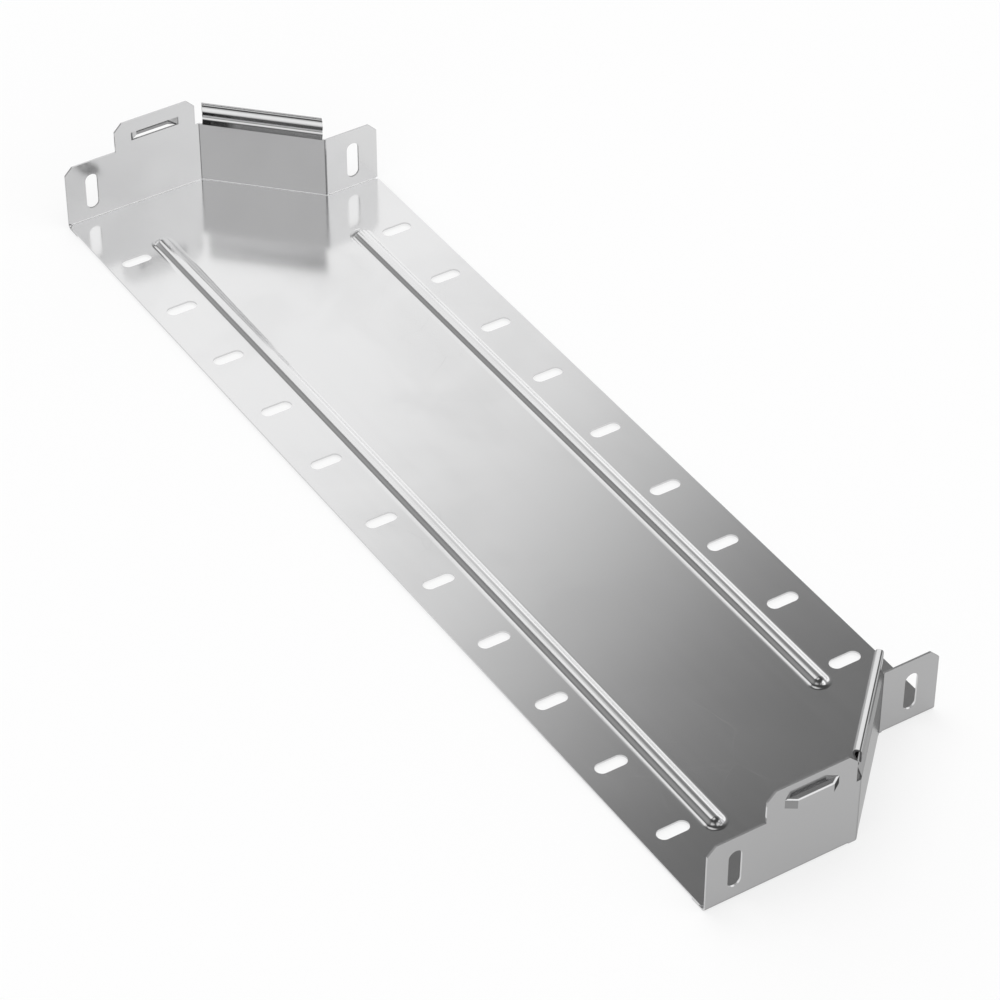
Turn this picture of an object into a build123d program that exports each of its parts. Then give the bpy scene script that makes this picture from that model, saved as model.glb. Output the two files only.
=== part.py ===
"""Cable tray reducer, which joins a wide cable tray to a narrower one in the same line.

A flat floor plate lies on the bottom flanges of two folded side walls. Each side wall is one
strip, bent twice in plan: a tab along the wide tray, a slanted run, and a tab along the narrow
tray. Millimetres. X lies across the trays, Y runs from the wide tray to the narrow one, and the
origin is under the middle of the part, at the underside of the flanges.
"""

from build123d import *
import math
import os

# The two trays that the reducer joins
wide_tray_width = 600.0
narrow_tray_width = 500.0
tray_clearance = 0.65
wide_tab_length = 81.8
narrow_tab_length = 32.2
taper_angle = 45.0

# Sheet, and the folds of the side walls
wall_sheet = 1.0
floor_sheet = 1.0
fold_inner_radius = 1.4
upright_bend_radius = 1.0
flange_width = 10.0
relief_clearance = 0.3
bend_notch = 1.5

# Side walls, heights above the underside
low_height = 38.5
tall_height = 55.5
step_to_tray_end = 30.9
tall_end_to_bend = 2.2
outer_corner_chamfer = 4.5
tall_corner_chamfer = 4.6
narrow_corner_chamfer = 5.0

# Upright slot in each tab
tab_slot_length = 21.8
tab_slot_width = 7.3
tab_slot_to_end = 15.2
tab_slot_height = 19.2

# Bridge pushed out of the tall part of each wide tab
bridge_start_to_step = 9.6
bridge_length = 29.0
bridge_ramp = 5.0
bridge_reach = 3.3
bridge_width = 4.9
bridge_root = 1.5
bridge_bend_radius = 0.5
bridge_below_top = 7.8

# Rolled rim along the slanted run: steps inwards or back out and rises, from bend to bend
rim_start = 2.0
rim_end_to_bend = 1.5
rim_root = 1.0
rim_root_radius = 0.5
first_ridge_step = 2.79
first_ridge_rise = 5.5
first_ridge_radius = 0.5
groove_step = 1.07
groove_rise = 1.06
groove_radius = 0.15
second_ridge_step = 2.79
second_ridge_rise = 4.84
second_ridge_radius = 1.2
shoulder_step = 1.21
shoulder_rise = 2.6
shoulder_radius = 1.7
rim_top_step = 2.35
rim_top_rise = 0.33
rim_top_radius = 0.1
rim_lip_drop = 6.23

# Floor plate, whose long edges are bevelled underneath up to a thin upright land
floor_fold_clearance = 0.05
floor_edge_land = 0.05
floor_corner_chamfer = 2.0

# Slots of the floor, one row along each open end
slot_length = 17.0
slot_width = 7.2
slot_to_end = 16.0
slot_pitch = 50.0
slot_to_wall = 47.08

# Raised beads that stiffen the floor
bead_width = 12.7
bead_height = 2.95
bead_to_end = 35.0
bead_to_wall = 35.4

# Places worked out from the sizes above
half_taper = math.radians(taper_angle) / 2
wide_inner_x = wide_tray_width / 2 + tray_clearance
narrow_inner_x = narrow_tray_width / 2 + tray_clearance
slant_depth = (wide_inner_x - narrow_inner_x) / math.tan(math.radians(taper_angle))
run_length = wide_tab_length + slant_depth + narrow_tab_length
wide_end_y = -run_length / 2
narrow_end_y = run_length / 2
wide_bend_y = wide_end_y + wide_tab_length
narrow_bend_y = wide_bend_y + slant_depth
slant_length = math.hypot(wide_inner_x - narrow_inner_x, slant_depth)
fold_outer_radius = fold_inner_radius + wall_sheet
corner_shift = wall_sheet * math.tan(half_taper)
mitre_run = flange_width * math.tan(half_taper)
flange_relief = mitre_run + relief_clearance
floor_bottom_z = wall_sheet

# Outer corners of the bends, where the outer faces of two neighbouring stretches meet
wide_outer_corner = Vector(wide_inner_x + wall_sheet, wide_bend_y + corner_shift)
narrow_outer_corner = Vector(narrow_inner_x + wall_sheet, narrow_bend_y + corner_shift)
slant_along = (narrow_outer_corner - wide_outer_corner).normalized()
slant_inward = Vector(-slant_along.Y, slant_along.X)
run_along = Vector(0, 1)
run_inward = Vector(-1, 0)


def bent_sheet(corners, thickness, inner_radii):
    """Outline a bent strip of sheet about its middle line, with an inner radius for each bend."""
    middle = [Vector(corner) for corner in corners]
    steps = [(end - start).normalized() for start, end in zip(middle, middle[1:])]
    normals = [Vector(-step.Y, step.X) for step in steps]
    pairs = list(zip(normals, normals[1:]))
    mitres = [(before + after) * (1 / (1 + before.dot(after))) for before, after in pairs]
    shifts = [normals[0], *mitres, normals[-1]]
    turns = [before.cross(after).Z for before, after in pairs]
    outlines = []
    for side in (1, -1):
        points = [point + shift * (side * thickness / 2) for point, shift in zip(middle, shifts)]
        radii = [
            radius if turn * side > 0 else radius + thickness
            for radius, turn in zip(inner_radii, turns)
        ]
        FilletPolyline(*points, radius=radii)
        outlines.append(points)
    Line(outlines[0][0], outlines[1][0])
    Line(outlines[0][-1], outlines[1][-1])


def fold_and_flange(start, along, inward, length):
    """Fold the wall's upright foot inwards, from the given point on its outer face."""
    across = Plane(origin=start, x_dir=inward, z_dir=along)
    with BuildSketch(across) as upright_foot:
        Rectangle(wall_sheet, fold_outer_radius, align=Align.MIN)
    extrude(upright_foot.sketch, amount=length, mode=Mode.SUBTRACT)
    centre = (fold_outer_radius, fold_outer_radius)
    with BuildSketch(across) as section:
        with BuildLine():
            CenterArc(centre, fold_outer_radius, 180, 90)
            Line((fold_outer_radius, 0), (flange_width, 0))
            Line((flange_width, 0), (flange_width, wall_sheet))
            Line((flange_width, wall_sheet), (fold_outer_radius, wall_sheet))
            CenterArc(centre, fold_inner_radius, 180, 90)
            Line((wall_sheet, fold_outer_radius), (0, fold_outer_radius))
        make_face()
    extrude(section.sketch, amount=length)


def upright_slot(inner_x, centre_y):
    """Cut the slot that takes the bolt through a tab and the side of a tray."""
    with BuildSketch(Plane.YZ.offset(inner_x)) as slot:
        with Locations((centre_y, tab_slot_height)):
            SlotOverall(tab_slot_length, tab_slot_width, rotation=90)
    extrude(slot.sketch, amount=wall_sheet, mode=Mode.SUBTRACT)


# Rolled rim of the slanted run: two ridges inwards, then a lip turned back outwards
with BuildPart() as rolled_rim:
    with BuildSketch(Plane(origin=wide_outer_corner, x_dir=slant_inward, z_dir=slant_along)):
        with BuildLine():
            rim_steps = [
                (0, rim_root),
                (first_ridge_step, first_ridge_rise),
                (-groove_step, groove_rise),
                (second_ridge_step, second_ridge_rise),
                (-shoulder_step, shoulder_rise),
                (-rim_top_step, rim_top_rise),
                (0, -rim_lip_drop),
            ]
            rim_radii = [
                rim_root_radius,
                first_ridge_radius,
                groove_radius,
                second_ridge_radius,
                shoulder_radius,
                rim_top_radius,
            ]
            rim_corners = [Vector(wall_sheet / 2, low_height - rim_root)]
            for inward_step, rise in rim_steps:
                rim_corners.append(rim_corners[-1] + Vector(inward_step, rise))
            bent_sheet(rim_corners, wall_sheet, rim_radii)
        make_face()
    extrude(amount=slant_length + mitre_run)

    # Its ends are cut in line with the upright bends at either end of the run
    mitre_normal = (run_along + slant_along).normalized()
    rim_start_point = wide_outer_corner + slant_along * rim_start
    rim_end_point = narrow_outer_corner - slant_along * rim_end_to_bend
    split(bisect_by=Plane(origin=rim_start_point, z_dir=mitre_normal), keep=Keep.TOP)
    split(bisect_by=Plane(origin=rim_end_point, z_dir=mitre_normal), keep=Keep.BOTTOM)

# Side wall on the +X side, with its tabs, folds, bridge and rolled rim
with BuildPart() as right_side_wall:
    middle_shift = corner_shift / 2
    middle_wide_x = wide_inner_x + wall_sheet / 2
    middle_narrow_x = narrow_inner_x + wall_sheet / 2

    # Upright strip up to the low edge, bent in plan
    with BuildSketch(Plane.XY.offset(floor_bottom_z)):
        with BuildLine():
            strip_corners = [
                (middle_wide_x, wide_end_y),
                (middle_wide_x, wide_bend_y + middle_shift),
                (middle_narrow_x, narrow_bend_y + middle_shift),
                (middle_narrow_x, narrow_end_y),
            ]
            strip_radii = [upright_bend_radius, upright_bend_radius]
            bent_sheet(strip_corners, wall_sheet, strip_radii)
        make_face()
    extrude(amount=low_height - floor_bottom_z)

    # Tall part of the wide tab, from its step to just short of the bend
    tall_start_y = wide_end_y + step_to_tray_end
    tall_end_y = wide_bend_y - tall_end_to_bend
    with BuildSketch(Plane.YZ.offset(wide_inner_x)):
        with BuildLine():
            Polyline(
                (tall_start_y, fold_outer_radius),
                (tall_end_y, fold_outer_radius),
                (tall_end_y, tall_height),
                (tall_start_y, tall_height),
                close=True,
            )
        tall_face = make_face()
        chamfer(tall_face.vertices().group_by(Axis.Z)[-1], length=tall_corner_chamfer)
    extrude(amount=wall_sheet)

    # Clipped corners at the two free ends
    cross_edges = right_side_wall.edges().filter_by(Axis.X)
    low_edges = cross_edges.filter_by_position(Axis.Z, low_height, low_height).sort_by(Axis.Y)
    chamfer(low_edges[0], length=outer_corner_chamfer)
    cross_edges = right_side_wall.edges().filter_by(Axis.X)
    low_edges = cross_edges.filter_by_position(Axis.Z, low_height, low_height).sort_by(Axis.Y)
    chamfer(low_edges[-1], length=narrow_corner_chamfer)

    # Bottom folds, which stop short of the bends
    wide_start = Vector(wide_inner_x + wall_sheet, wide_end_y)
    wide_length = (wide_outer_corner - wide_start).length
    fold_and_flange(wide_start, run_along, run_inward, wide_length - flange_relief)
    fold_and_flange(
        wide_outer_corner + slant_along * flange_relief,
        slant_along,
        slant_inward,
        slant_length - flange_relief - bend_notch,
    )
    fold_and_flange(
        narrow_outer_corner + run_along * bend_notch,
        run_along,
        run_inward,
        narrow_end_y - narrow_outer_corner.Y - bend_notch,
    )

    upright_slot(wide_inner_x, wide_end_y + tab_slot_to_end)
    upright_slot(narrow_inner_x, narrow_end_y - tab_slot_to_end)

    # Bridge: a strip cut free along its two long edges and pushed outwards
    bridge_start_y = tall_start_y + bridge_start_to_step
    bridge_end_y = bridge_start_y + bridge_length
    bridge_top_z = tall_height - bridge_below_top
    with BuildSketch(Plane.YZ.offset(wide_inner_x)):
        with Locations(((bridge_start_y + bridge_end_y) / 2, bridge_top_z - bridge_width / 2)):
            Rectangle(bridge_length, bridge_width)
    extrude(amount=wall_sheet, mode=Mode.SUBTRACT)
    with BuildSketch(Plane.XY.offset(bridge_top_z - bridge_width)):
        with BuildLine():
            bridge_corners = [
                (middle_wide_x, bridge_start_y - bridge_root),
                (middle_wide_x, bridge_start_y),
                (middle_wide_x + bridge_reach, bridge_start_y + bridge_ramp),
                (middle_wide_x + bridge_reach, bridge_end_y - bridge_ramp),
                (middle_wide_x, bridge_end_y),
                (middle_wide_x, bridge_end_y + bridge_root),
            ]
            bridge_radii = [bridge_bend_radius for _ in bridge_corners[1:-1]]
            bent_sheet(bridge_corners, wall_sheet, bridge_radii)
        make_face()
    extrude(amount=bridge_width)

    add(rolled_rim.part)

right_side_wall.part.label = "side_wall_right"

# Side wall on the -X side, its mirror image
with BuildPart() as left_side_wall:
    mirror(right_side_wall.part, about=Plane.YZ)

left_side_wall.part.label = "side_wall_left"


def slot_places(inner_x, row_y):
    """Centres of one row of floor slots, set out from both walls towards the middle."""
    outermost_x = inner_x - slot_to_wall
    places = [(0, row_y)]
    for step in range(int(outermost_x // slot_pitch)):
        places.append((outermost_x - step * slot_pitch, row_y))
        places.append((step * slot_pitch - outermost_x, row_y))
    return places


def bead_curve(side):
    """Half of the bead's middle line: a foot arc and a crest arc that meet in one tangent."""
    half_width = bead_width / 2
    sweep = 2 * math.atan2(bead_height, half_width)
    radius = half_width / (2 * math.sin(sweep))
    turn = math.degrees(sweep)
    if side > 0:
        CenterArc((half_width, radius), radius, 270, -turn)
        CenterArc((0, bead_height - radius), radius, 90, -turn)
    else:
        CenterArc((-half_width, radius), radius, 270, turn)
        CenterArc((0, bead_height - radius), radius, 90, turn)


def raised_bead(centre_y, inner_x):
    """Press one bead up out of the floor plate, with round ends."""
    straight = inner_x - bead_to_wall - bead_width / 2
    middle_z = floor_bottom_z + floor_sheet / 2
    with BuildSketch(Plane.XY.offset(floor_bottom_z)) as footprint:
        with Locations((0, centre_y)):
            SlotCenterToCenter(2 * straight, bead_width)
    extrude(footprint.sketch, amount=floor_sheet, mode=Mode.SUBTRACT)

    across = Plane(origin=(-straight, centre_y, middle_z), x_dir=(0, 1, 0), z_dir=(1, 0, 0))
    with BuildSketch(across) as section:
        with BuildLine():
            bead_curve(1)
            bead_curve(-1)
        trace(line_width=floor_sheet)
    extrude(section.sketch, amount=2 * straight)

    for end_x, side in ((straight, -1), (-straight, 1)):
        end_plane = Plane(origin=(end_x, centre_y, middle_z), x_dir=(0, 1, 0), z_dir=(1, 0, 0))
        with BuildSketch(end_plane) as half_section:
            with BuildLine():
                bead_curve(side)
            trace(line_width=floor_sheet)
        turn_axis = Axis((end_x, centre_y, middle_z), (0, 0, 1))
        revolve(half_section.sketch, axis=turn_axis, revolution_arc=180)


# Floor plate, lying on the flanges of both side walls
with BuildPart() as floor_plate:
    # The foot of the land keeps its clearance from the inner arc of the fold
    land_below_arc_centre = fold_inner_radius - floor_sheet + floor_edge_land
    clear_radius = fold_inner_radius - floor_fold_clearance
    land_from_arc_centre = math.sqrt(clear_radius**2 - land_below_arc_centre**2)
    wall_gap = fold_inner_radius - land_from_arc_centre
    gap_shift = wall_gap * math.tan(half_taper)
    wide_edge_x = wide_inner_x - wall_gap
    narrow_edge_x = narrow_inner_x - wall_gap
    with BuildSketch(Plane.XY.offset(floor_bottom_z)):
        with BuildLine():
            Polyline(
                (0, wide_end_y),
                (wide_edge_x - floor_corner_chamfer, wide_end_y),
                (wide_edge_x, wide_end_y + floor_corner_chamfer),
                (wide_edge_x, wide_bend_y - gap_shift),
                (narrow_edge_x, narrow_bend_y - gap_shift),
                (narrow_edge_x, narrow_end_y - floor_corner_chamfer),
                (narrow_edge_x - floor_corner_chamfer, narrow_end_y),
                (0, narrow_end_y),
            )
            mirror(about=Plane.YZ)
        make_face()
        with Locations(slot_places(wide_inner_x, wide_end_y + slot_to_end)):
            SlotOverall(slot_length, slot_width, rotation=90, mode=Mode.SUBTRACT)
        with Locations(slot_places(narrow_inner_x, narrow_end_y - slot_to_end)):
            SlotOverall(slot_length, slot_width, rotation=90, mode=Mode.SUBTRACT)
    extrude(amount=floor_sheet)

    # Bevel under the long edges, which leaves room for the folds
    underside = floor_plate.faces().sort_by(Axis.Z)[0]
    long_edges = underside.outer_wire().edges().filter_by(Axis.X, reverse=True)
    bevel_width = land_from_arc_centre + floor_fold_clearance
    chamfer(long_edges, bevel_width, floor_sheet - floor_edge_land, reference=underside)

    raised_bead(wide_end_y + bead_to_end, wide_inner_x)
    raised_bead(narrow_end_y - bead_to_end, narrow_inner_x)

floor_plate.part.label = "floor_plate"

os.makedirs("parts", exist_ok=True)
export_step(floor_plate.part, "parts/floor_plate.step")
export_step(right_side_wall.part, "parts/side_wall_right.step")
export_step(left_side_wall.part, "parts/side_wall_left.step")
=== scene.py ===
"""Dresses the cable tray reducer in bright stainless sheet and sets it in a plain studio.

The part stays as it was modelled: a floor plate and two folded side walls. This script gives each
of them its rolled, lightly handled steel, and adds the studio's floor, its soft light and the
camera of the photograph.
"""

import logging
import math
from dataclasses import dataclass
from enum import Enum

import bpy
from mathutils import Matrix, Vector

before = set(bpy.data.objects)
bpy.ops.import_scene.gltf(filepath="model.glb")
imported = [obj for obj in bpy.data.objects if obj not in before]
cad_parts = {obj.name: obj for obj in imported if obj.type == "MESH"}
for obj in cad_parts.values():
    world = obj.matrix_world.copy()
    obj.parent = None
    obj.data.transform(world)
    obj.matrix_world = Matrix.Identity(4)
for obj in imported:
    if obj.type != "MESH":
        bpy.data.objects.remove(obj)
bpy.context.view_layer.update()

LOG = logging.getLogger("cable_tray_reducer")

Triple = tuple[float, float, float]
Span = tuple[float, float]

# Turn over which a mask comes in, the two sides of a soft edge, and the least number to divide by
FADE_IN: Span = (0.0, 0.05)
EDGE_SIDES: Span = (-1.0, 1.0)
NEAR_ZERO: float = 0.001


class GrainRun(Enum):
    """The way the rolling lines of a sheet run, as the stretch of its pattern along each axis."""

    ACROSS_TRAYS = (0.02, 1.0, 1.0)
    ALONG_STRIP = (0.02, 0.02, 1.0)


class Lobe(Enum):
    """The soft patches of light around the part, by what each one does for it."""

    FAR_SHEEN = "far sheen"
    FAR_SIDE_SHEEN = "far side sheen"
    NEAR_SHEEN = "near sheen"
    SIDE_SHEEN = "side sheen"
    LOW_LEFT_SHEEN = "low left sheen"
    LOW_RIGHT_SHEEN = "low right sheen"
    LOW_FAR_SHEEN = "low far sheen"
    TOP_SHEEN = "top sheen"


def add_node(tree: bpy.types.NodeTree, kind: str, **values: object) -> bpy.types.Node:
    """Add one node and set its own properties.

    Args:
        tree: The node tree that takes the node.
        kind: The node's type name.
        **values: Properties of the node, such as its operation.

    Returns:
        The new node.
    """
    node = tree.nodes.new(kind)
    for name, value in values.items():
        setattr(node, name, value)
    return node


def feed(tree: bpy.types.NodeTree, socket: bpy.types.NodeSocket, value: object) -> None:
    """Link a socket into another one, or set the other one's value.

    Args:
        tree: The node tree of both sockets.
        socket: The input that is fed.
        value: An output socket, or a plain value.
    """
    if isinstance(value, bpy.types.NodeSocket):
        tree.links.new(value, socket)
    else:
        socket.default_value = value


def maths(tree: bpy.types.NodeTree, operation: str, *values: object) -> bpy.types.NodeSocket:
    """Work out one number from others.

    Args:
        tree: The node tree.
        operation: The name of the sum, such as MULTIPLY.
        *values: Sockets or numbers, in the operation's order.

    Returns:
        The socket of the result.
    """
    node = add_node(tree, "ShaderNodeMath", operation=operation)
    for socket, value in zip(node.inputs, values):
        feed(tree, socket, value)
    return node.outputs[0]


def vector_maths(tree: bpy.types.NodeTree, operation: str, *values: object) -> bpy.types.Node:
    """Work out one vector or number from vectors.

    Args:
        tree: The node tree.
        operation: The name of the vector sum, such as DOT_PRODUCT.
        *values: Sockets or vectors, in the operation's order.

    Returns:
        The node, whose outputs are the vector and the number.
    """
    node = add_node(tree, "ShaderNodeVectorMath", operation=operation)
    for socket, value in zip(node.inputs, values):
        feed(tree, socket, value)
    return node


def ramp(tree: bpy.types.NodeTree, value: object, span: Span) -> bpy.types.NodeSocket:
    """Rise smoothly from 0 to 1 as a value goes from one end of a span to the other.

    Args:
        tree: The node tree.
        value: Socket or number that is measured.
        span: Where the result is 0, and where it is 1, which may be the lower of the two.

    Returns:
        The socket of the result.
    """
    node = add_node(tree, "ShaderNodeMapRange", interpolation_type="SMOOTHSTEP")
    feed(tree, node.inputs["Value"], value)
    node.inputs["From Min"].default_value, node.inputs["From Max"].default_value = span
    return node.outputs["Result"]


def new_group(name: str, inputs: dict[str, str], outputs: dict[str, str]) -> tuple:
    """Start a shader node group with named sockets.

    Args:
        name: The group's name.
        inputs: Each input's name and socket type.
        outputs: Each output's name and socket type.

    Returns:
        The group, its input node and its output node.
    """
    group = bpy.data.node_groups.new(name, "ShaderNodeTree")
    for label, kind in inputs.items():
        group.interface.new_socket(label, in_out="INPUT", socket_type=kind)
    for label, kind in outputs.items():
        group.interface.new_socket(label, in_out="OUTPUT", socket_type=kind)
    return group, add_node(group, "NodeGroupInput"), add_node(group, "NodeGroupOutput")


def noise(tree: bpy.types.NodeTree, place: object, scale: float, detail: float = 2.0) -> bpy.types.Node:
    """Add a noise texture.

    Args:
        tree: The node tree.
        place: Socket of the place that the noise is read at.
        scale: Its scale.
        detail: How many finer layers it has.

    Returns:
        The noise node.
    """
    node = add_node(tree, "ShaderNodeTexNoise", noise_dimensions="3D")
    feed(tree, node.inputs["Vector"], place)
    node.inputs["Scale"].default_value = scale
    node.inputs["Detail"].default_value = detail
    return node


def place_group(tree: bpy.types.NodeTree, group: bpy.types.NodeTree, **values: object) -> bpy.types.Node:
    """Place a node group in a tree and feed its inputs.

    Args:
        tree: The tree that takes the group.
        group: The group.
        **values: Sockets or plain values for its inputs, with spaces of a name as underscores.

    Returns:
        The group's node.
    """
    node = add_node(tree, "ShaderNodeGroup", node_tree=group)
    for name, value in values.items():
        feed(tree, node.inputs[name.replace("_", " ")], value)
    return node


@dataclass(frozen=True)
class MarkScales:
    """How fine the marks of the steel are, as noise scales, and where their masks begin and end.

    Attributes:
        lines: Scale of the fine rolling lines.
        lines_detail: Finer layers of those lines.
        streaks: Scale of the slow streaks.
        streaks_detail: Finer layers of those streaks.
        smudges: Scale of the smudges.
        smudges_detail: Finer layers of the smudges.
        smudge_swirl: How far the smudges are distorted.
        smudge_span: Noise values between which a smudge fades in.
        bends: Scale of the noise that bends the scratches.
        bend_reach: How far it bends them, in metres.
        cells: Scale of the cells whose seams are the scratches.
        scratch_span: Distances from a seam over which a scratch fades in.
        broken_span: Smudge noise values between which a scratch starts to show.
    """

    lines: float = 2600.0
    lines_detail: float = 3.0
    streaks: float = 210.0
    streaks_detail: float = 4.0
    smudges: float = 14.0
    smudges_detail: float = 5.0
    smudge_swirl: float = 0.6
    smudge_span: Span = (0.42, 0.7)
    bends: float = 22.0
    bend_reach: float = 0.03
    cells: float = 26.0
    scratch_span: Span = (0.006, 0.0)
    broken_span: Span = (0.5, 0.62)


@dataclass(frozen=True)
class WallPlaces:
    """Where the zones of a side wall begin and end, in metres in the part's frame.

    Attributes:
        skin: Turn towards the outside over which the inner side passes into the outer side, which takes
            painted shade.
        foot: Heights over which the fold at the foot ends.
        rim_along: Places along the run over which the rim begins.
        rim_height: Heights over which the rim begins.
        ramp_from: Turn along the run over which a ramp of the bridge begins.
        ramp_to: Turn along the run over which it ends.
        tall_height: Heights over which the zone of the bridge begins.
        tall_along: Places along the run over which that zone begins.
        bridge_top: Heights over which the bridge ends.
        slot_middle: Distance of the upright slots from the middle of the part.
        slot_side: Distances from a slot's middle over which its width ends.
        slot_height: Height of a slot's middle.
        slot_end: Distances from a slot's middle over which its length ends.
    """

    skin: Span = (-0.12, 0.12)
    foot: Span = (0.0026, 0.0024)
    rim_along: Span = (0.0002, 0.0006)
    rim_height: Span = (0.0386, 0.0389)
    ramp_from: Span = (0.3, 0.45)
    ramp_to: Span = (0.72, 0.64)
    tall_height: Span = (0.0415, 0.042)
    tall_along: Span = (-0.009, -0.0095)
    bridge_top: Span = (0.0486, 0.0482)
    slot_middle: float = 0.0668
    slot_side: Span = (0.0045, 0.0042)
    slot_height: float = 0.0192
    slot_end: Span = (0.0116, 0.0113)


class SteelEffects:
    """The effects that the steel of every piece shares, each one a node group.

    Attributes:
        marks: How fine the marks are.
        places: Where the zones of a side wall lie.
        grain: Rolling lines of the cold rolled surface.
        handling: Smudges and hairline scratches.
        cut_edge: Mask of the sheared edges of a sheet.
        wall_zones: Masks of the zones that folding and punching leave on a side wall, and of its outer side;
            some of them carry painted shade and a painted highlight.
    """

    def __init__(self) -> None:
        """Build the groups."""
        self.marks = MarkScales()
        self.places = WallPlaces()
        self.grain = self._rolled_grain()
        self.handling = self._handling_marks()
        self.cut_edge = self._cut_edge()
        self.wall_zones = self._wall_zones()

    def _rolled_grain(self) -> bpy.types.NodeTree:
        """Draw fine lines: noise that is squeezed across the rolling and stretched along it.

        Returns:
            The group, which puts out the lines as a height and as a slow streak.
        """
        group, given, result = new_group(
            "rolled_grain",
            {"Place": "NodeSocketVector", "Stretch": "NodeSocketVector"},
            {"Height": "NodeSocketFloat", "Streak": "NodeSocketFloat"},
        )
        place = vector_maths(group, "MULTIPLY", given.outputs["Place"], given.outputs["Stretch"]).outputs[0]
        lines = noise(group, place, self.marks.lines, self.marks.lines_detail)
        streak = noise(group, place, self.marks.streaks, self.marks.streaks_detail)
        feed(group, result.inputs["Height"], lines.outputs["Fac"])
        feed(group, result.inputs["Streak"], streak.outputs["Fac"])
        return group

    def _handling_marks(self) -> bpy.types.NodeTree:
        """Draw what handling leaves: broad smudges, and thin scratches along the seams of cells.

        Returns:
            The group, which puts out a smudge mask and a scratch mask.
        """
        group, given, result = new_group(
            "handling_marks",
            {"Place": "NodeSocketVector"},
            {"Smudge": "NodeSocketFloat", "Scratch": "NodeSocketFloat"},
        )
        marks, place = self.marks, given.outputs["Place"]
        smudge = noise(group, place, marks.smudges, marks.smudges_detail)
        smudge.inputs["Distortion"].default_value = marks.smudge_swirl
        bent = noise(group, place, marks.bends)
        reach = (marks.bend_reach,) * 3
        turned = vector_maths(group, "MULTIPLY_ADD", bent.outputs["Color"], reach, place)
        cells = add_node(group, "ShaderNodeTexVoronoi", feature="DISTANCE_TO_EDGE")
        feed(group, cells.inputs["Vector"], turned.outputs[0])
        cells.inputs["Scale"].default_value = marks.cells
        hairline = ramp(group, cells.outputs["Distance"], marks.scratch_span)
        broken = ramp(group, smudge.outputs["Fac"], marks.broken_span)
        feed(group, result.inputs["Smudge"], ramp(group, smudge.outputs["Fac"], marks.smudge_span))
        feed(group, result.inputs["Scratch"], maths(group, "MULTIPLY", hairline, broken))
        return group

    @staticmethod
    def _cut_edge() -> bpy.types.NodeTree:
        """Find the sheared edges: where the face turns away from the sheet's own broad side.

        Returns:
            The group, which puts out 1 on a cut edge and 0 on the sheet.
        """
        group, given, result = new_group(
            "cut_edge",
            {"Turned": "NodeSocketFloat", "Limit": "NodeSocketFloat"},
            {"Mask": "NodeSocketFloat"},
        )
        size = maths(group, "ABSOLUTE", given.outputs["Turned"])
        over = maths(group, "SUBTRACT", given.outputs["Limit"], size)
        feed(group, result.inputs["Mask"], ramp(group, over, FADE_IN))
        return group

    def _wall_zones(self) -> bpy.types.NodeTree:
        """Find the zones of a side wall by their place on it and the way their faces turn.

        At the foot and at the rim the sheet is folded, not cut. The bridge and the two upright
        slots are punched.

        Returns:
            The group, which puts out masks of the outer side, which takes painted shade, of where an edge
            can be a cut one, of the fold line, which takes a painted highlight, of the pressed ramps, which
            take painted shade, and of the punched openings.
        """
        group, given, result = new_group(
            "wall_zones",
            {"Place": "NodeSocketVector", "Facing": "NodeSocketVector", "Outward": "NodeSocketVector"},
            {name: "NodeSocketFloat" for name in ("Outer", "Sheared", "Fold", "Pressed Shade", "Punched")},
        )
        at = self.places
        place = add_node(group, "ShaderNodeSeparateXYZ")
        feed(group, place.inputs[0], given.outputs["Place"])
        along, height = place.outputs["Y"], place.outputs["Z"]
        facing = add_node(group, "ShaderNodeSeparateXYZ")
        feed(group, facing.inputs[0], given.outputs["Facing"])
        turned = vector_maths(group, "DOT_PRODUCT", given.outputs["Facing"], given.outputs["Outward"])
        outer = ramp(group, turned.outputs["Value"], at.skin)
        inner = ramp(group, turned.outputs["Value"], at.skin[::-1])

        foot = ramp(group, height, at.foot)
        rim = maths(group, "MULTIPLY", ramp(group, along, at.rim_along), ramp(group, height, at.rim_height))
        folded = maths(group, "MAXIMUM", foot, rim)
        sheared = maths(group, "SUBTRACT", 1.0, folded)

        sideways = maths(group, "ABSOLUTE", facing.outputs["Y"])
        begun, not_ended = ramp(group, sideways, at.ramp_from), ramp(group, sideways, at.ramp_to)
        ramped = maths(group, "MULTIPLY", begun, not_ended)
        above, before = ramp(group, height, at.tall_height), ramp(group, along, at.tall_along)
        tall = maths(group, "MULTIPLY", above, before)
        # The ramps of the bridge on the outer side are where the painted shade goes.
        pressed = maths(group, "MULTIPLY", maths(group, "MULTIPLY", ramped, tall), outer)

        off_middle = maths(group, "SUBTRACT", maths(group, "ABSOLUTE", along), at.slot_middle)
        beside = ramp(group, maths(group, "ABSOLUTE", off_middle), at.slot_side)
        off_height = maths(group, "ABSOLUTE", maths(group, "SUBTRACT", height, at.slot_height))
        slots = maths(group, "MULTIPLY", beside, ramp(group, off_height, at.slot_end))
        bridge = maths(group, "MULTIPLY", tall, ramp(group, height, at.bridge_top))
        punched = maths(group, "MAXIMUM", slots, bridge)

        # The outer side and the pressed ramps take painted shade; the fold line takes a painted highlight.
        feed(group, result.inputs["Outer"], outer)
        feed(group, result.inputs["Sheared"], sheared)
        feed(group, result.inputs["Fold"], maths(group, "MULTIPLY", foot, inner))
        feed(group, result.inputs["Pressed Shade"], pressed)
        feed(group, result.inputs["Punched"], punched)
        return group


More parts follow.
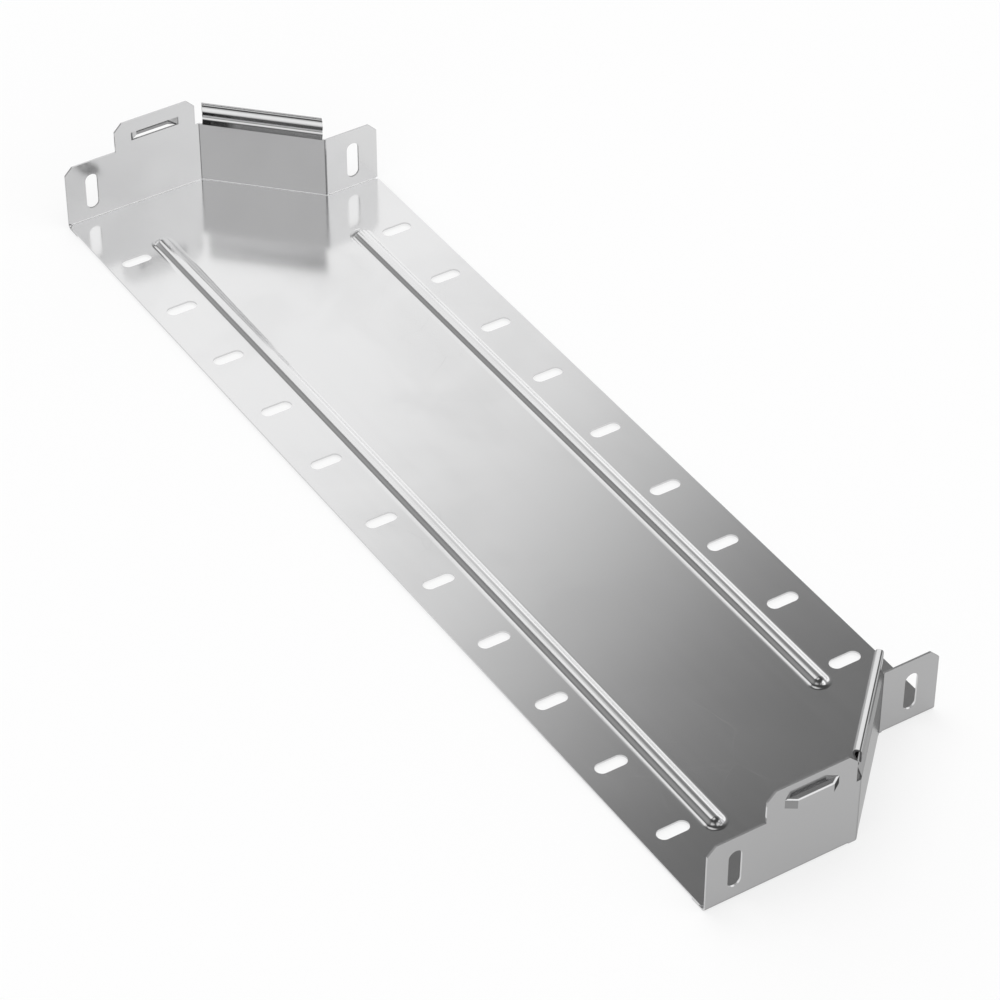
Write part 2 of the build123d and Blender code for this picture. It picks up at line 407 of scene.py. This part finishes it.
@dataclass(frozen=True)
class WallSkinAndPaintedLight:
    """What a folded wall's steel has beyond the plain sheet: painted shade on its outer side and on the ramps
    of the bridge, a painted highlight along the fold line, and punched edges that lean.

    Attributes:
        outer_shade_colour: Colour of the side that faces away from the tray, darker than the inner side as
            painted shade.
        pressed_shade_colour: Colour of the ramps of the bridge, darker still as painted shade.
        fold_highlight_colour: Colour of the line along the foot, made bright as a painted highlight.
        fold_roughness: Roughness of that line.
        roll_over: How far a punched edge leans towards the outer skin, where the punch drew it in.
    """

    outer_shade_colour: Triple = (0.45, 0.45, 0.452)
    pressed_shade_colour: Triple = (0.27, 0.27, 0.271)
    fold_highlight_colour: Triple = (0.95, 0.95, 0.955)
    fold_roughness: float = 0.3
    roll_over: float = 1.0


@dataclass(frozen=True)
class BrightSheet:
    """Bright cold rolled stainless sheet.

    Attributes:
        name: The material's name.
        colour: Colour of the steel where light strikes it straight on.
        roughness: Roughness of the clean surface.
        grain: The way the rolling lines run.
        grain_depth: Depth of the rolling lines, in metres.
        grain_strength: How strongly those lines turn the light.
        streak_share: How far the slow streaks change the roughness.
        smudge_share: How far smudges raise the roughness.
        scratch_share: How far scratches raise the roughness.
        smudge_tone: Share of its colour that the steel keeps under a smudge.
        glancing_shade_tint: Share of its mirror light that the steel keeps at a glancing angle; below 1 it
            darkens glancing reflections as painted shade.
        cut_limit: How far an edge may face along the broad sides' direction and count as cut.
        cut_colour: Colour of the sheared edges.
        cut_roughness: Roughness of the sheared edges.
        wall: What the sheet of a folded wall has besides.
    """

    name: str
    colour: Triple
    roughness: float
    grain: GrainRun
    grain_depth: float = 0.0000003
    grain_strength: float = 0.35
    streak_share: float = 0.03
    smudge_share: float = 0.02
    scratch_share: float = 0.05
    smudge_tone: float = 0.97
    glancing_shade_tint: float = 1.0
    cut_limit: float = 0.3
    cut_colour: Triple = (0.66, 0.66, 0.665)
    cut_roughness: float = 0.24
    wall: WallSkinAndPaintedLight | None = None

    @staticmethod
    def _blend(tree: bpy.types.NodeTree, share: object, below: object, above: Triple) -> bpy.types.NodeSocket:
        """Lay one colour over another by a mask.

        Args:
            tree: The node tree.
            share: The mask.
            below: Socket of the colour where the mask is 0.
            above: Colour where the mask is 1.

        Returns:
            The socket of the mixed colour.
        """
        mixed = add_node(tree, "ShaderNodeMix", data_type="RGBA")
        feed(tree, mixed.inputs[0], share)
        feed(tree, mixed.inputs[6], below)
        mixed.inputs[7].default_value = (*above, 1.0)
        return mixed.outputs[2]

    @staticmethod
    def _shift(tree: bpy.types.NodeTree, share: object, below: object, above: float) -> bpy.types.NodeSocket:
        """Lay one number over another by a mask.

        Args:
            tree: The node tree.
            share: The mask.
            below: Socket of the number where the mask is 0.
            above: Number where the mask is 1.

        Returns:
            The socket of the mixed number.
        """
        mixed = add_node(tree, "ShaderNodeMix", data_type="FLOAT")
        feed(tree, mixed.inputs[0], share)
        feed(tree, mixed.inputs[2], below)
        mixed.inputs[3].default_value = above
        return mixed.outputs[0]

    def make(self, effects: SteelEffects, flat_axis: Triple, outward: Triple) -> bpy.types.Material:
        """Build the material.

        Args:
            effects: The node groups that all the steel shares.
            flat_axis: The direction that the sheet's broad sides face.
            outward: The direction that its outer skin faces.

        Returns:
            The material.
        """
        material = bpy.data.materials.new(self.name)
        material.use_nodes = True
        tree = material.node_tree
        tree.nodes.clear()
        place = add_node(tree, "ShaderNodeTexCoord").outputs["Object"]
        facing = add_node(tree, "ShaderNodeNewGeometry").outputs["Normal"]

        grain = place_group(tree, effects.grain, Place=place, Stretch=self.grain.value)
        marks = place_group(tree, effects.handling, Place=place)
        turned = vector_maths(tree, "DOT_PRODUCT", facing, flat_axis).outputs["Value"]
        cut = place_group(tree, effects.cut_edge, Turned=turned, Limit=self.cut_limit).outputs["Mask"]

        streaks = maths(tree, "MULTIPLY_ADD", grain.outputs["Streak"], self.streak_share, self.roughness)
        smudged = maths(tree, "MULTIPLY_ADD", marks.outputs["Smudge"], self.smudge_share, streaks)
        scratched = maths(tree, "MULTIPLY_ADD", marks.outputs["Scratch"], self.scratch_share, smudged)
        smudged_colour = tuple(self.smudge_tone * value for value in self.colour)
        tint = self._blend(tree, marks.outputs["Smudge"], (*self.colour, 1.0), smudged_colour)

        bump = add_node(tree, "ShaderNodeBump")
        if self.wall:
            zones = place_group(tree, effects.wall_zones, Place=place, Facing=facing, Outward=outward)
            cut = maths(tree, "MULTIPLY", cut, zones.outputs["Sheared"])
            # Painted shade: the side that faces away from the tray takes a darker colour.
            tint = self._blend(tree, zones.outputs["Outer"], tint, self.wall.outer_shade_colour)
            # Painted shade: the ramps of the bridge take a darker colour still.
            tint = self._blend(tree, zones.outputs["Pressed Shade"], tint, self.wall.pressed_shade_colour)
            # Painted highlight: the fold line along the foot takes a bright colour and a rougher surface.
            tint = self._blend(tree, zones.outputs["Fold"], tint, self.wall.fold_highlight_colour)
            scratched = self._shift(tree, zones.outputs["Fold"], scratched, self.wall.fold_roughness)
            punched = maths(tree, "MULTIPLY", cut, zones.outputs["Punched"])
            lean = maths(tree, "MULTIPLY", punched, self.wall.roll_over)
            pull = vector_maths(tree, "SCALE", outward)
            feed(tree, pull.inputs["Scale"], lean)
            leaning = vector_maths(tree, "ADD", facing, pull.outputs[0])
            feed(tree, bump.inputs["Normal"], vector_maths(tree, "NORMALIZE", leaning.outputs[0]).outputs[0])
        tint = self._blend(tree, cut, tint, self.cut_colour)
        rough = self._shift(tree, cut, scratched, self.cut_roughness)

        bump.inputs["Strength"].default_value = self.grain_strength
        bump.inputs["Distance"].default_value = self.grain_depth
        feed(tree, bump.inputs["Height"], grain.outputs["Height"])

        steel = add_node(tree, "ShaderNodeBsdfPrincipled")
        steel.inputs["Metallic"].default_value = 1.0
        # The glancing tint darkens mirror light at glancing angles; on the walls, at 0.45, this is painted
        # shade.
        steel.inputs["Specular Tint"].default_value = (*(self.glancing_shade_tint,) * 3, 1.0)
        feed(tree, steel.inputs["Base Color"], tint)
        feed(tree, steel.inputs["Roughness"], rough)
        feed(tree, steel.inputs["Normal"], bump.outputs["Normal"])
        output = add_node(tree, "ShaderNodeOutputMaterial")
        feed(tree, output.inputs["Surface"], steel.outputs["BSDF"])
        return material


@dataclass(frozen=True)
class SheetPiece:
    """One piece of folded or pressed sheet, which keeps the shape it was modelled in.

    Attributes:
        node: The piece's name in the model.
        finish: The steel that it is made of.
        flat_axis: The direction that its broad sides face.
        outward: The direction that its outer skin faces.
    """

    node: str
    finish: BrightSheet
    flat_axis: Triple
    outward: Triple

    def dress(self, effects: SteelEffects) -> None:
        """Give the piece its steel.

        Args:
            effects: The node groups that all the steel shares.
        """
        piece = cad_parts[self.node]
        material = self.finish.make(effects, self.flat_axis, self.outward)
        if piece.data.materials:
            for index in range(len(piece.data.materials)):
                piece.data.materials[index] = material
        else:
            piece.data.materials.append(material)
        LOG.info("%s: %d faces in %s", self.node, len(piece.data.polygons), self.finish.name)


@dataclass(frozen=True)
class TrayReducer:
    """The reducer: its floor plate and its two side walls."""

    floor_finish: BrightSheet = BrightSheet(
        "bright_floor_sheet", (0.76, 0.76, 0.763), 0.12, GrainRun.ACROSS_TRAYS
    )
    wall_finish: BrightSheet = BrightSheet(
        "bright_wall_sheet", (0.70, 0.70, 0.703), 0.12, GrainRun.ALONG_STRIP, glancing_shade_tint=0.45, wall=WallSkinAndPaintedLight()
    )

    def dress(self) -> None:
        """Dress the three pieces."""
        effects = SteelEffects()
        up, across = (0.0, 0.0, 1.0), (1.0, 0.0, 0.0)
        SheetPiece("floor_plate", self.floor_finish, up, (0.0, 0.0, -1.0)).dress(effects)
        SheetPiece("side_wall_left", self.wall_finish, across, (-1.0, 0.0, 0.0)).dress(effects)
        SheetPiece("side_wall_right", self.wall_finish, across, (1.0, 0.0, 0.0)).dress(effects)


@dataclass(frozen=True)
class SoftPatch:
    """A soft rectangle of light, far off, seen in a direction.

    Attributes:
        lobe: What the patch does for the part.
        azimuth: Its direction round the part, in degrees from +X towards +Y.
        elevation: Its height above the level, in degrees.
        half_width: Half its width, as the tangent of the half angle.
        half_height: Half its height, measured the same way.
        roll: Its turn about its own direction, in degrees.
        soft: Width of its fading edge, measured as the half width is.
        strength: Its light.
    """

    lobe: Lobe
    azimuth: float
    elevation: float
    half_width: float
    half_height: float
    roll: float
    soft: float
    strength: float

    def axes(self) -> tuple[Vector, Vector, Vector]:
        """Find the patch's own directions.

        Returns:
            Its middle, its side and its top, as unit vectors.
        """
        azimuth, elevation = math.radians(self.azimuth), math.radians(self.elevation)
        middle = Vector((
            math.cos(elevation) * math.cos(azimuth),
            math.cos(elevation) * math.sin(azimuth),
            math.sin(elevation),
        ))
        side = Vector((-math.sin(azimuth), math.cos(azimuth), 0.0))
        top = middle.cross(side)
        turn = Matrix.Rotation(math.radians(self.roll), 3, middle)
        return middle, turn @ side, turn @ top


@dataclass(frozen=True)
class Studio:
    """The plain studio: a pale floor, soft light from all round and a few broad patches.

    Attributes:
        floor_side: Half the floor's width, in metres.
        floor_colour: Colour of the floor.
        floor_glow: Share of the floor that shows as plain white to the eye and to the steel.
        level: Light of the air half way up.
        horizon: Light that the air gains towards the horizon.
        overhead: Light of the air overhead.
        overhead_span: Heights of a direction between which the air passes from overhead to half way up.
        horizon_span: Heights of a direction between which it gains the light of the horizon.
        key_angle: Apparent size of the soft key light, in degrees.
        key_light: Light of the key on the floor.
        patches: The soft patches of light.
    """

    floor_side: float = 60.0
    floor_colour: Triple = (0.86, 0.86, 0.86)
    floor_glow: float = 0.7
    level: float = 0.33
    horizon: float = 0.15
    overhead: float = 0.07
    overhead_span: Span = (0.85, 0.45)
    horizon_span: Span = (0.5, 0.25)
    key_angle: float = 80.0
    key_light: float = 1.97
    patches: tuple[SoftPatch, ...] = (
        SoftPatch(Lobe.FAR_SHEEN, 174.3, 4.3, 0.974, 0.72, 134.9, 0.161, 1.10),
        SoftPatch(Lobe.FAR_SIDE_SHEEN, 191.0, 30.0, 0.25, 0.57, 0.0, 0.06, 1.06),
        SoftPatch(Lobe.NEAR_SHEEN, 42.0, 22.0, 0.35, 0.50, 0.0, 0.15, 1.30),
        SoftPatch(Lobe.SIDE_SHEEN, -63.0, 36.0, 0.40, 0.25, 0.0, 0.15, 0.78),
        SoftPatch(Lobe.LOW_LEFT_SHEEN, -50.0, 11.0, 0.75, 0.36, 0.0, 0.12, 1.12),
        SoftPatch(Lobe.LOW_RIGHT_SHEEN, 22.0, 9.0, 0.75, 0.48, 0.0, 0.12, 1.22),
        SoftPatch(Lobe.LOW_FAR_SHEEN, 112.0, 8.0, 0.50, 0.30, 0.0, 0.12, 1.20),
        SoftPatch(Lobe.TOP_SHEEN, 180.0, 76.0, 0.24, 0.20, 0.0, 0.08, 0.75),
    )

    def build(self) -> None:
        """Build the floor and the light."""
        self._floor()
        self._air()
        self._key()

    def _floor(self) -> None:
        """Lay the floor: one flat square at the level that the part lies on."""
        side = self.floor_side
        corners = [(-side, -side, 0.0), (side, -side, 0.0), (side, side, 0.0), (-side, side, 0.0)]
        mesh = bpy.data.meshes.new("studio_floor")
        mesh.from_pydata(corners, [], [(0, 1, 2, 3)])
        floor = bpy.data.objects.new("studio_floor", mesh)
        bpy.context.scene.collection.objects.link(floor)

        material = bpy.data.materials.new("studio_floor")
        material.use_nodes = True
        tree = material.node_tree
        tree.nodes.clear()
        seen = add_node(tree, "ShaderNodeLightPath")
        eye = maths(tree, "MAXIMUM", seen.outputs["Is Camera Ray"], seen.outputs["Is Glossy Ray"])
        eye = maths(tree, "MAXIMUM", eye, seen.outputs["Is Transmission Ray"])
        share = maths(tree, "MULTIPLY", eye, self.floor_glow)
        matt = add_node(tree, "ShaderNodeBsdfDiffuse")
        matt.inputs["Color"].default_value = (*self.floor_colour, 1.0)
        white = add_node(tree, "ShaderNodeEmission")
        white.inputs["Strength"].default_value = 1.0
        mixed = add_node(tree, "ShaderNodeMixShader")
        feed(tree, mixed.inputs[0], share)
        feed(tree, mixed.inputs[1], matt.outputs[0])
        feed(tree, mixed.inputs[2], white.outputs[0])
        output = add_node(tree, "ShaderNodeOutputMaterial")
        feed(tree, output.inputs["Surface"], mixed.outputs[0])
        mesh.materials.append(material)
        LOG.info("studio floor laid")

    @staticmethod
    def _soft_rectangle() -> bpy.types.NodeTree:
        """Draw a soft rectangle in the air, as a flat panel seen from the part.

        A direction is measured along the panel's middle, side and top. Side and top divided by
        middle give the place on the panel, and each fades from 1 to 0 over the soft edge. What
        lies behind the part fades out, and the division stays clear of zero.

        Returns:
            The group, which puts out the panel's mask.
        """
        group, given, result = new_group(
            "soft_rectangle",
            {
                "Direction": "NodeSocketVector",
                "Middle": "NodeSocketVector",
                "Side": "NodeSocketVector",
                "Top": "NodeSocketVector",
                "Half Width": "NodeSocketFloat",
                "Half Height": "NodeSocketFloat",
                "Soft": "NodeSocketFloat",
            },
            {"Mask": "NodeSocketFloat"},
        )
        direction = given.outputs["Direction"]
        ahead = vector_maths(group, "DOT_PRODUCT", direction, given.outputs["Middle"]).outputs["Value"]
        safe = maths(group, "MAXIMUM", ahead, NEAR_ZERO)
        mask = ramp(group, ahead, FADE_IN)
        for axis, half in (("Side", "Half Width"), ("Top", "Half Height")):
            along = vector_maths(group, "DOT_PRODUCT", direction, given.outputs[axis]).outputs["Value"]
            place = maths(group, "ABSOLUTE", maths(group, "DIVIDE", along, safe))
            inside = maths(group, "SUBTRACT", given.outputs[half], place)
            share = maths(group, "DIVIDE", inside, given.outputs["Soft"])
            mask = maths(group, "MULTIPLY", mask, ramp(group, share, EDGE_SIDES))
        feed(group, result.inputs["Mask"], mask)
        return group

    def _air(self) -> None:
        """Light the air: paler at the horizon, dim overhead, and brighter where a patch lies."""
        world = bpy.data.worlds.new("studio_air")
        world.use_nodes = True
        bpy.context.scene.world = world
        tree = world.node_tree
        tree.nodes.clear()
        direction = add_node(tree, "ShaderNodeTexCoord").outputs["Generated"]
        height = add_node(tree, "ShaderNodeSeparateXYZ")
        feed(tree, height.inputs[0], direction)
        low = ramp(tree, height.outputs["Z"], self.overhead_span)
        light = maths(tree, "MULTIPLY_ADD", low, self.level - self.overhead, self.overhead)
        near_level = ramp(tree, height.outputs["Z"], self.horizon_span)
        light = maths(tree, "MULTIPLY_ADD", near_level, self.horizon, light)
        panel = self._soft_rectangle()
        for patch in self.patches:
            middle, side, top = patch.axes()
            placed = place_group(
                tree, panel, Direction=direction, Middle=middle, Side=side, Top=top,
                Half_Width=patch.half_width, Half_Height=patch.half_height, Soft=patch.soft,
            )
            shine = maths(tree, "MULTIPLY", placed.outputs["Mask"], patch.strength)
            light = maths(tree, "MAXIMUM", shine, light)
            LOG.info("soft patch: %s", patch.lobe.value)
        background = add_node(tree, "ShaderNodeBackground")
        background.inputs["Color"].default_value = (1.0, 1.0, 1.0, 1.0)
        feed(tree, background.inputs["Strength"], light)
        output = add_node(tree, "ShaderNodeOutputWorld")
        feed(tree, output.inputs["Surface"], background.outputs[0])

    def _key(self) -> None:
        """Hang a very soft key light overhead, which lights the floor and draws the part's shadow."""
        key = bpy.data.lights.new("soft_key", "SUN")
        key.angle = math.radians(self.key_angle)
        key.energy = self.key_light
        lamp = bpy.data.objects.new("soft_key", key)
        lamp.visible_glossy = False
        bpy.context.scene.collection.objects.link(lamp)
        LOG.info("soft key light hung")


@dataclass(frozen=True)
class PhotoCamera:
    """The camera of the photograph, worked out from the slots of the floor.

    Attributes:
        focal_share: Focal length as a share of the image's width.
        sensor: Width of the sensor, in millimetres.
        far_limit: How far the camera sees, in metres.
        place: Where the camera stands, in metres in the part's frame.
        right: The direction of the image's right side.
        down: The direction of the image's lower side.
    """

    focal_share: float = 3.7881
    sensor: float = 36.0
    far_limit: float = 200.0
    place: Triple = (1.22782, -0.77640, 1.20585)
    right: Triple = (0.535163884, 0.844747572, 0.001075763)
    down: Triple = (0.543885893, -0.343587240, -0.765595157)

    def build(self) -> bpy.types.Object:
        """Make the camera and set it as the scene's camera.

        Returns:
            The camera object.
        """
        data = bpy.data.cameras.new("photo_camera")
        data.sensor_width = self.sensor
        data.lens = self.focal_share * self.sensor
        data.clip_end = self.far_limit
        camera = bpy.data.objects.new("photo_camera", data)
        bpy.context.scene.collection.objects.link(camera)
        right, up = Vector(self.right), -Vector(self.down)
        turn = Matrix((right, up, right.cross(up))).transposed().to_4x4()
        camera.matrix_world = Matrix.Translation(Vector(self.place)) @ turn
        bpy.context.scene.camera = camera
        LOG.info("camera placed, lens %.1f mm", data.lens)
        return camera


def main() -> None:
    """Build the scene in order: camera, studio, part."""
    logging.basicConfig(level=logging.INFO, format="%(message)s")
    bpy.context.scene.view_settings.view_transform = "Standard"
    PhotoCamera().build()
    Studio().build()
    TrayReducer().dress()


if __name__ == "__main__":
    main()
